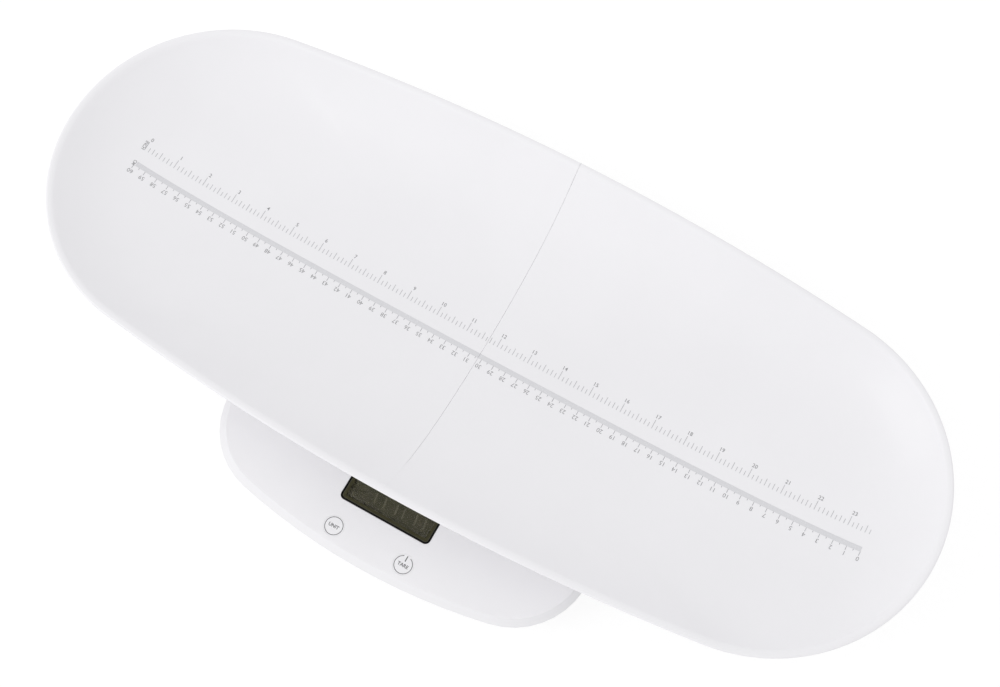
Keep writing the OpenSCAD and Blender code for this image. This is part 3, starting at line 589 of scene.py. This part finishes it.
BOSSES = [(x, y) for x in (26, 100) for y in (-62, 62)]
BOSS_R = 4.5
BOSS_BORE_R = 1.5
BOSS_BORE_DEPTH = 7
BOSS_BEVEL = 0.3
BOSS_SINK = 1.0
BOSS_STEPS = 36
BOSS_FOOT_Z = 36.2 - BED_Z


def boss(x, y):
    """A screw boss under the bed: rings from its foot's bore out and up into the bed."""
    bevel_z = BOSS_FOOT_Z + BOSS_BEVEL
    rings = [
        (BOSS_BORE_R, BOSS_FOOT_Z + BOSS_BORE_DEPTH),
        (BOSS_BORE_R, bevel_z),
        (BOSS_BORE_R + BOSS_BEVEL, BOSS_FOOT_Z),
        (BOSS_R - BOSS_BEVEL, BOSS_FOOT_Z),
        (BOSS_R, bevel_z),
        (BOSS_R, bed_height(x, y) - WALL_T + BOSS_SINK),
    ]
    points = []
    for r, z in rings:
        for k in range(BOSS_STEPS + 1):
            a = 2 * math.pi * k / BOSS_STEPS
            points.append((x + r * math.cos(a), y + r * math.sin(a), z))
    return points, grid_faces(len(rings), BOSS_STEPS + 1, flip=True)


def tray_surfaces(arcs, towards_near):
    """Rows of points over the dish's upper face, round its lip, and back over the underside."""
    fractions = [1 - (1 - j / RINGS) ** CLOSER_OUTWARDS for j in range(RINGS + 1)]
    top, under, lip = [], [], []
    for s in fractions:
        points, normal = dish(arcs, max(s, INNERMOST))
        below = points - WALL_T * normal
        below[[0, -1], 0] = 0
        points[[0, -1], 0] = 0
        below[:, 0] = np.maximum(below[:, 0], 0)
        top.append(points)
        under.append(below)
    for inset, drop in lip_section():
        x, y = rim_points(arcs, inset)
        x[[0, -1]] = 0
        lip.append(np.stack([x, y, np.full(len(arcs), TRAY_DEPTH - drop)], 1))
    for row in top + lip + under:
        row[:, 0] += SEAM_GAP / 2
        for column in (0, -1):
            row[column, 0] = seam_face(towards_near * row[column, 1])
    return top, lip, under


def tray_half(name, node, mirrored):
    """One half of the tray, with its seam's tongue or groove and its screw bosses."""
    arcs = outline()
    n = len(arcs)
    top, lip, under = tray_surfaces(arcs, 1 if mirrored else -1)
    rows = top + lip + under[::-1]
    points = [tuple(p) for p in np.concatenate(rows)]
    faces = grid_faces(len(rows), n, flip=True)
    for column in (0, n - 1):
        line = []
        for upper, lower in zip(top, under):
            face, y, z = upper[column]
            line.extend(seam_profile(y, z, lower[column][2], face, mirrored))
        first = len(points)
        points.extend(line)
        faces.extend(grid_faces(RINGS + 1, 6, first, flip=column == 0))
        closing = [row[column] for row in rows[RINGS:RINGS + len(lip) + 2]]
        first = len(points)
        points.extend(tuple(p) for p in closing)
        face = tuple(range(first, first + len(closing)))
        faces.append(face if column == 0 else face[::-1])
    for x, y in BOSSES:
        ring_points, ring_faces = boss(x, y)
        first = len(points)
        points.extend(ring_points)
        faces.extend(tuple(i + first for i in f) for f in ring_faces)
    side = -1 if mirrored else 1
    placed = [(side * x * MM, (side * y + TRAY_Y) * MM, (z + BED_Z) * MM) for x, y, z in points]
    half = new_mesh(name, placed, faces, tray_plastic)
    smooth_shading(half, TRAY_WELD, TRAY_SMOOTH, TRAY_EVENNESS)
    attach(half, "tray")
    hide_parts(node)


tray_half("tray_shell_right", "tray_right", False)
tray_half("tray_shell_left", "tray_left", True)

# ------------------------------------------------------------------ print
# The ruler is printed a hair askew, as in the photograph.
PRINT_LIFT = 0.05
RULER_SHIFT = -0.4
RULER_TURN = -math.radians(0.15)
# This near the seam, the wall adds next to nothing to the bed's height
BED_REACH = 100.0


def surface(x, y):
    """The dish's height at a place near its long axis, in millimetres."""
    if abs(x) < BED_REACH:
        return bed_height(x, y)
    x = abs(x)
    reach = END_R - LIP_WIDTH
    square = x * x + y * y
    scale = (END_CX * x + math.sqrt((END_CX * x) ** 2 - square * (END_CX**2 - reach**2))) / square
    rise, power = wall(scale * x, scale * y, (scale * x - END_CX) / reach, scale * y / reach)
    return bed_height(x, y) + rise * scale**-power


# How long the ruler's line is along the dish, out to a place past its ends
ARC_END = 330
ARC_STEPS = 660
arc_x = np.linspace(0, ARC_END, ARC_STEPS + 1)
arc_z = np.array([surface(x, 0) for x in arc_x])
arc_length = np.concatenate([[0], np.cumsum(np.hypot(np.diff(arc_x), np.diff(arc_z)))])


def on_bed(length, y):
    """The printed point at that length along the ruler from the seam and y across it, in metres."""
    y += RULER_SHIFT + RULER_TURN * length
    x = math.copysign(float(np.interp(abs(length), arc_length, arc_x)), length)
    falls_x = surface(x - 0.5, y) - surface(x + 0.5, y)
    falls_y = surface(x, y - 0.5) - surface(x, y + 0.5)
    normal = Vector((falls_x, falls_y, 1)).normalized()
    place = Vector((x, y + TRAY_Y, surface(x, y) + BED_Z)) + normal * PRINT_LIFT
    return tuple(place * MM)


class Layer:
    """Flat printed shapes, gathered into one mesh."""

    def __init__(self, place):
        self.place = place
        self.points = []
        self.faces = []

    def patch(self, x0, y0, x1, y1, along=1):
        """A rectangle, cut finely enough along x to follow a curved face."""
        start = len(self.points)
        for y in (y0, y1):
            self.points.extend(self.place(x0 + (x1 - x0) * i / along, y) for i in range(along + 1))
        self.faces.extend(grid_faces(2, along + 1, start))

    def shape(self, points, faces):
        start = len(self.points)
        self.points.extend(self.place(x, y) for x, y in points)
        self.faces.extend(tuple(i + start for i in f) for f in faces)

    def build(self, name, material, body):
        made = new_mesh(name, self.points, self.faces, material, smooth=False)
        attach(made, body)
        return made


def letter_mesh(text, height, bold=0.0):
    """Points in mm, centred, and faces of plain words or numbers of that height."""
    curve = bpy.data.curves.new("letters", "FONT")
    curve.body = text
    curve.align_x = "CENTER"
    curve.resolution_u = 3
    curve.offset = bold
    made = bpy.data.objects.new("letters", curve)
    bpy.context.scene.collection.objects.link(made)
    data = bpy.data.meshes.new_from_object(made.evaluated_get(bpy.context.evaluated_depsgraph_get()))
    points = np.array([v.co for v in data.vertices])[:, :2]
    faces = [tuple(p.vertices) for p in data.polygons]
    bpy.data.objects.remove(made)
    bpy.data.curves.remove(curve)
    bpy.data.meshes.remove(data)
    low, high = points.min(0), points.max(0)
    scale = height / (high[1] - low[1])
    return (points - (low + high) / 2) * scale, faces


def write(layer, text, height, x, y, degrees=0, bold=0.0, squeeze=1.0):
    """Plain words or numbers centred on x, y and turned by degrees."""
    points, faces = letter_mesh(text, height, bold)
    a = math.radians(degrees)
    c, s = math.cos(a), math.sin(a)
    turned = [(x + px * squeeze * c - py * s, y + px * squeeze * s + py * c) for px, py in points]
    layer.shape(turned, faces)


INCH = 25.4
CM = 10.0
INCH_ZERO = -297.0
CM_ZERO = 303.0
LAST_INCH = 23
LAST_EIGHTH = LAST_INCH * 8 + 5
LAST_CM = 60
BAR_NEAR = -11.3
BAR_FAR = -7.5
BAR_START = INCH_ZERO + 1.2
BAR_STEPS = 120
TICK_W = 0.38
INCH_TICK_Y = 2.9
# Every so many eighths of an inch, and the length of the tick there
INCH_TICKS = {8: 7.2, 4: 5.6, 2: 4.6, 1: 3.6}
CM_TICK = 3.1
HALF_CM_TICK = 1.3
TICK_OVERLAP = 0.2
INCH_NUMERAL_H = 2.9
INCH_NUMERAL_ASIDE = 1.0
INCH_NUMERAL_Y = 12.7
CM_NUMERAL_H = 3.2
CM_NUMERAL_ASIDE = 0.3
CM_NUMERAL_Y = -16.9
UNIT_H = 2.6
UNIT_SQUEEZE = 0.85
INCH_WORD_X = INCH_ZERO - 1.5
INCH_WORD_Y = 6.3
CM_WORD_X = INCH_ZERO - 0.5
CM_WORD_Y = -9.5

bar = Layer(on_bed)
bar.patch(BAR_START, BAR_NEAR, -SEAM_GAP, BAR_FAR, BAR_STEPS)
bar.patch(SEAM_GAP, BAR_NEAR, CM_ZERO, BAR_FAR, BAR_STEPS)
bar.build("ruler_bar", ruler_grey, "tray")

inch_ticks = Layer(on_bed)
for eighth in range(LAST_EIGHTH + 1):
    length = next(size for every, size in INCH_TICKS.items() if eighth % every == 0)
    place = INCH_ZERO + eighth * INCH / 8
    inch_ticks.patch(place - TICK_W / 2, INCH_TICK_Y, place + TICK_W / 2, INCH_TICK_Y + length)
inch_ticks.build("ruler_inch_ticks", inch_tick_grey, "tray")
cm_ticks = Layer(on_bed)
for half_cm in range(LAST_CM * 2 + 1):
    length = HALF_CM_TICK if half_cm % 2 else CM_TICK
    place = CM_ZERO - half_cm * CM / 2
    cm_ticks.patch(place - TICK_W / 2, BAR_NEAR - length, place + TICK_W / 2, BAR_NEAR + TICK_OVERLAP)
cm_ticks.build("ruler_cm_ticks", cm_tick_grey, "tray")

inch_numerals = Layer(on_bed)
for number in range(LAST_INCH + 1):
    place = INCH_ZERO + number * INCH + INCH_NUMERAL_ASIDE
    write(inch_numerals, str(number), INCH_NUMERAL_H, place, INCH_NUMERAL_Y, bold=0.004)
write(inch_numerals, "INCH", UNIT_H, INCH_WORD_X, INCH_WORD_Y, -90, 0.006, UNIT_SQUEEZE)
inch_numerals.build("ruler_inch_numerals", inch_grey, "tray")
cm_numerals = Layer(on_bed)
for number in range(LAST_CM + 1):
    place = CM_ZERO - number * CM + CM_NUMERAL_ASIDE
    write(cm_numerals, str(number), CM_NUMERAL_H, place, CM_NUMERAL_Y, 180)
write(cm_numerals, "CM", UNIT_H, CM_WORD_X, CM_WORD_Y, -90, 0.01, UNIT_SQUEEZE)
cm_numerals.build("ruler_cm_numerals", cm_grey, "tray")

# ------------------------------------------------------------------ keys
KEY_INK_LIFT = 0.04
RING_R = 6.55
RING_W = 0.46
RING_STEPS = 72
RING_HALF_GAP = 23
STROKE_HALF_W = 0.35
STROKE_BOTTOM = 2.6
STROKE_TOP = 6.8
WORD_H = 2.55
WORD_BOLD = 0.016
WORD_DROP = 0.3


def ring_band(layer, start, end):
    """The key's flat ring, from start to end in degrees."""
    points = []
    for i in range(RING_STEPS + 1):
        a = math.radians(start + (end - start) * i / RING_STEPS)
        for r in (RING_R - RING_W / 2, RING_R + RING_W / 2):
            points.append((r * math.cos(a), r * math.sin(a)))
    layer.shape(points, [(2 * i, 2 * i + 1, 2 * i + 3, 2 * i + 2) for i in range(RING_STEPS)])


def key_print(name, key, word, stroke):
    """A key's ring and word. With stroke, the ring is open at the top and a short bar stands there."""
    low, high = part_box(key)
    centre = (low + high) / 2

    def place(x, y):
        return (centre.x + x * MM, centre.y + y * MM, high.z + KEY_INK_LIFT * MM)

    layer = Layer(place)
    gap = RING_HALF_GAP if stroke else 0
    ring_band(layer, 90 + gap, 450 - gap)
    if stroke:
        layer.patch(-STROKE_HALF_W, STROKE_BOTTOM, STROKE_HALF_W, STROKE_TOP)
    write(layer, word, WORD_H, 0, -WORD_DROP if stroke else 0, bold=WORD_BOLD)
    layer.build(name, key_ink, key)


key_print("unit_key_print", "unit_key", "UNIT", False)
key_print("tare_key_print", "tare_key", "TARE", True)

# ------------------------------------------------------------------ display
window_low, window_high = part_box("display_window")
window_middle = (window_low + window_high) / 2
window_half = (window_high - window_low) / 2 / MM


def inset_outline(inset, r, steps=10):
    """Points round the window at that inset, with corners of radius r, anticlockwise from the right."""
    half_x, half_y = window_half.x - inset, window_half.y - inset
    points = []
    for cx, cy, start in ((1, -1, -90), (1, 1, 0), (-1, 1, 90), (-1, -1, 180)):
        for k in range(steps + 1):
            a = math.radians(start + 90 * k / steps)
            points.append((cx * (half_x - r) + r * math.cos(a), cy * (half_y - r) + r * math.sin(a)))
    return points


def at_depth(z):
    def place(x, y):
        return (window_middle.x + x * MM, window_middle.y + y * MM, z)
    return place


WINDOW_INK_LIFT = 0.03
INK_START = 0.05
BORDER_END = 1.5
GLINT_END = 1.72
MASK_END = 3.7
# Each band's name and material, and the inset and corner radius of its outer and inner outline
DISPLAY_BANDS = [
    ("display_border", border_black, (INK_START, 3.8), (BORDER_END, 2.4)),
    # The second band is the painted glint
    ("display_painted_glint", painted_edge_glint, (BORDER_END, 2.4), (GLINT_END, 2.2)),
    ("display_mask", mask_olive, (GLINT_END, 2.2), (MASK_END, 1.5)),
]
for name, material, outer, inner in DISPLAY_BANDS:
    band = Layer(at_depth(window_high.z + WINDOW_INK_LIFT * MM))
    points = inset_outline(*outer) + inset_outline(*inner)
    n = len(points) // 2
    band.shape(points, [(i, (i + 1) % n, n + (i + 1) % n, n + i) for i in range(n)])
    band.build(name, material, "base")

MARK_LIFT = 0.02
SEGMENT_LEAN = -0.16
SEGMENT_W = 1.25
DIGIT_BOTTOM = -7.4
LOWER_STROKE = (DIGIT_BOTTOM + 0.8, DIGIT_BOTTOM + 8.6)
UPPER_STROKE = (DIGIT_BOTTOM + 10.2, 12.4)
# Each digit's left stroke and the way across to its right one
DIGITS = ((-12.6, 7.6), (4.6, 5.8), (20.4, 7.2))
marks = Layer(at_depth(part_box("lcd_glass")[1].z + MARK_LIFT * MM))
for left, across in DIGITS:
    for x in (left, left + across):
        for ends in (LOWER_STROKE, UPPER_STROKE):
            (x0, y0), (x1, y1) = [(x + (y - DIGIT_BOTTOM) * SEGMENT_LEAN, y) for y in ends]
            half = SEGMENT_W / 2
            corners = [(x0 - half, y0), (x0 + half, y0), (x1 + half, y1), (x1 - half, y1)]
            marks.shape(corners, [(0, 1, 2, 3)])
marks.build("display_segments", segment_ghost, "base")

# ------------------------------------------------------------------ floor, world and lamps
FLOOR_GREY = (0.80, 0.80, 0.80)
FLOOR_SHADE = (0.22, 0.22, 0.22)
FLOOR_GLOW = 0.82
FLOOR_HALF = 12.0
AMBIENT_TOP = 0.77
AMBIENT_HORIZON = 1.17
WHITE = (1, 1, 1)
LAMP_PLACE = Vector((-1.6, -1.3, 1.9))
LAMP_TARGET = Vector((0, 0, 0.05))
LAMP_SIZE = 1.6
LAMP_WATTS = 16


def empty_tree(owner):
    owner.use_nodes = True
    owner.node_tree.nodes.clear()
    return Tree(owner.node_tree)


def pale_floor():
    """White where it is seen, with the object's shadow on it. From below it is clear."""
    material = bpy.data.materials.new("floor_pale")
    t = empty_tree(material)
    lit = t.shader("ShaderNodeBsdfDiffuse", Color=FLOOR_GREY)
    both = t.add("ShaderNodeAddShader")
    t.link(t.shader("ShaderNodeBsdfDiffuse", Color=FLOOR_SHADE), both.inputs[0])
    t.link(t.shader("ShaderNodeEmission", Strength=FLOOR_GLOW), both.inputs[1])
    above = t.mix_shaders(t.seen_directly(), lit, both.outputs[0])
    below = t.shader("ShaderNodeBsdfTransparent")
    backfacing = t.add("ShaderNodeNewGeometry").outputs["Backfacing"]
    output = t.add("ShaderNodeOutputMaterial")
    t.link(t.mix_shaders(backfacing, above, below), output.inputs["Surface"])
    return material


def studio():
    """Even light, brighter towards the horizon, and a white background where it is seen."""
    world = bpy.data.worlds.new("studio")
    t = empty_tree(world)
    direction = t.add("ShaderNodeTexCoord").outputs["Generated"]
    strength = t.spread(t.height(direction), AMBIENT_HORIZON, AMBIENT_TOP, 0, 1, smooth=True)
    ambient = t.shader("ShaderNodeBackground", Color=WHITE, Strength=strength)
    white = t.shader("ShaderNodeBackground", Color=WHITE, Strength=1.0)
    output = t.add("ShaderNodeOutputWorld")
    t.link(t.mix_shaders(t.seen_directly(), ambient, white), output.inputs["Surface"])
    return world


floor_corners = [(x * FLOOR_HALF, y * FLOOR_HALF, 0) for x, y in ((-1, -1), (1, -1), (1, 1), (-1, 1))]
floor = new_mesh("floor", floor_corners, [(0, 1, 2, 3)], pale_floor(), smooth=False)

bpy.context.scene.world = studio()

lamp_data = bpy.data.lights.new("key_lamp", "AREA")
lamp_data.shape = "SQUARE"
lamp_data.size = LAMP_SIZE
lamp_data.energy = LAMP_WATTS
lamp = bpy.data.objects.new("key_lamp", lamp_data)
bpy.context.scene.collection.objects.link(lamp)
lamp.location = LAMP_PLACE
lamp.rotation_euler = (LAMP_TARGET - LAMP_PLACE).to_track_quat("-Z", "Y").to_euler()

bpy.context.scene.view_settings.view_transform = "Standard"
